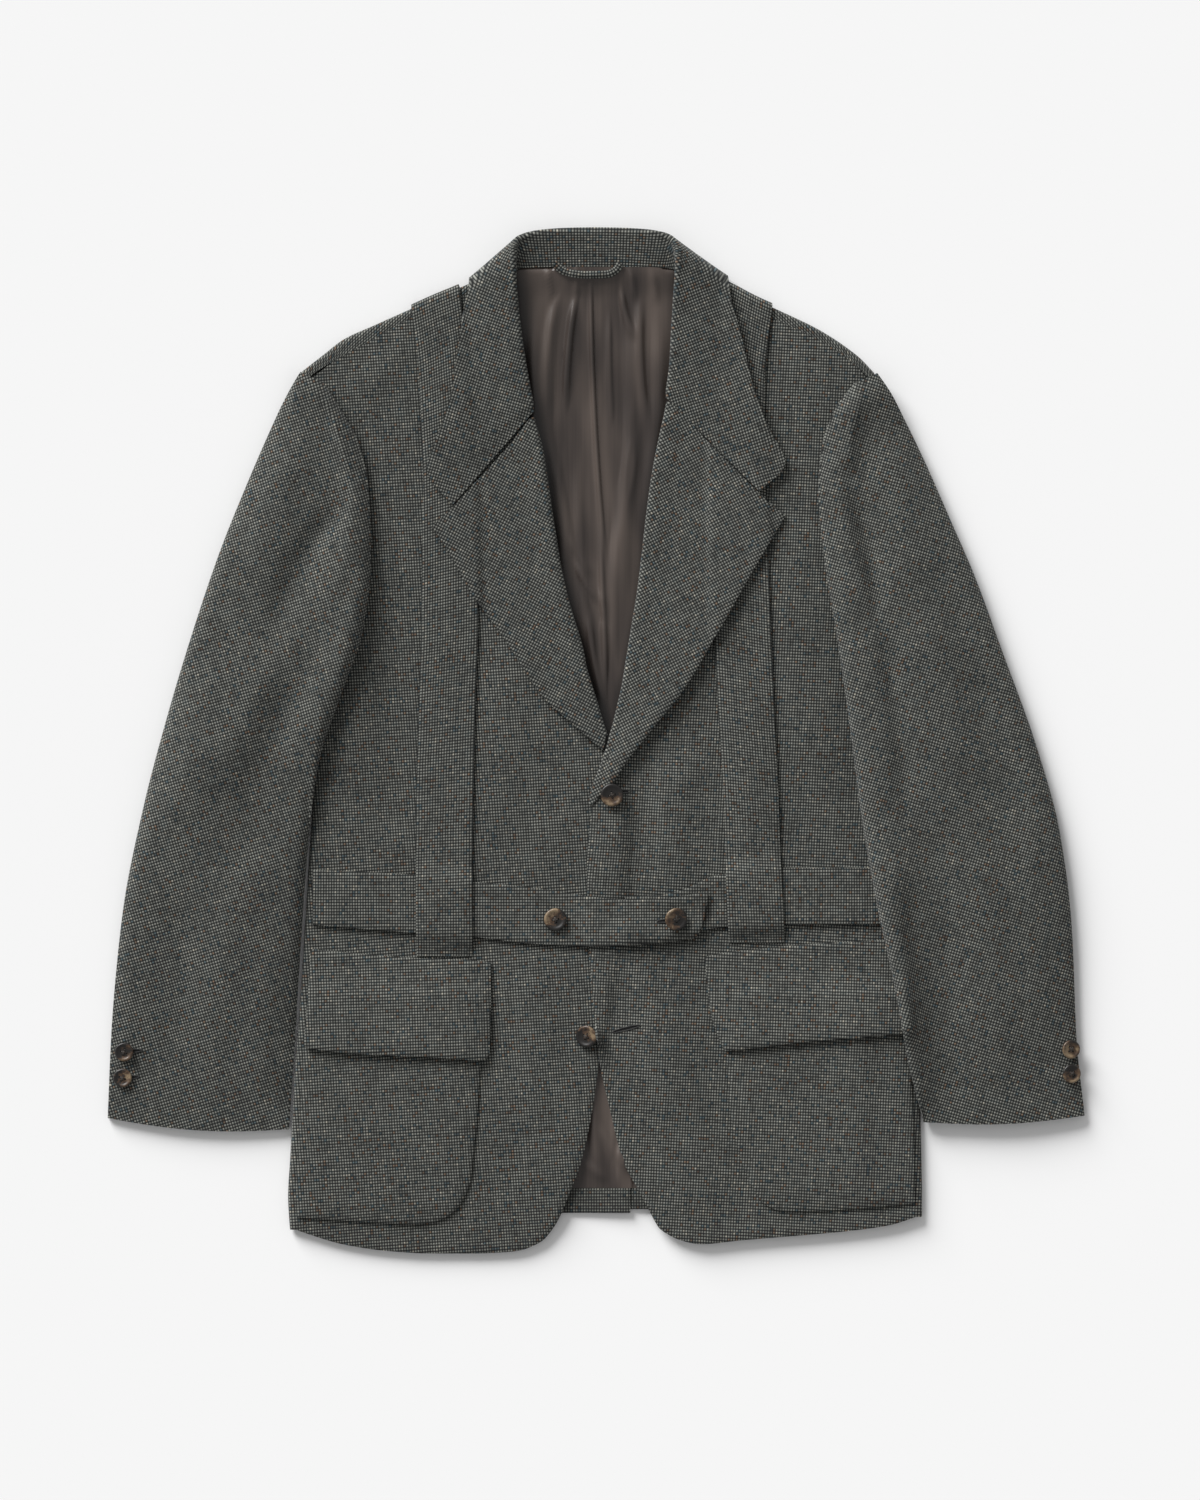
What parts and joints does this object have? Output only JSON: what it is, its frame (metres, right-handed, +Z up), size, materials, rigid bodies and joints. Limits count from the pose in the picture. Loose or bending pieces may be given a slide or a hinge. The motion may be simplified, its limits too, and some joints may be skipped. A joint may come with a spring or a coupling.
{
  "type": "norfolk jacket",
  "caption": "Belted tweed norfolk jacket laid flat, front up, with notched lapels, shoulder straps, flap pockets and a buttoned half belt over a satin-lined back.",
  "frame": {"origin": "on the surface the jacket lies on, below the centre of its outline", "axes": "+X towards the wearer's left sleeve, +Y from the hem to the collar, +Z up out of the surface"},
  "size_m": [0.781, 0.8196, 0.0298],
  "materials": {
    "tweed": "charcoal hopsack wool with light flecks",
    "lining_satin": "taupe satin",
    "horn": "polished mottled horn"
  },
  "bodies": {
    "root": {"back_left": "tweed", "back_right": "tweed", "belt_left": "tweed", "belt_right": "tweed", "button_belt_left": "horn", "button_belt_right": "horn", "button_cuff_left_lower": "horn", "button_cuff_left_upper": "horn", "button_cuff_right_lower": "horn", "button_cuff_right_upper": "horn", "button_front_lower": "horn", "button_front_top": "horn", "collar": "tweed", "flap_left": "tweed", "flap_right": "tweed", "front_left": "tweed", "front_right": "tweed", "hanger_loop": "tweed", "hem_turn_left": "tweed", "hem_turn_right": "tweed", "lapel_left": "tweed", "lapel_right": "tweed", "lining": "lining_satin", "pocket_left": "tweed", "pocket_right": "tweed", "sleeve_top_left": "tweed", "sleeve_top_right": "tweed", "sleeve_under_left": "tweed", "sleeve_under_right": "tweed", "strap_left": "tweed", "strap_right": "tweed"}
  },
  "joints": []
}
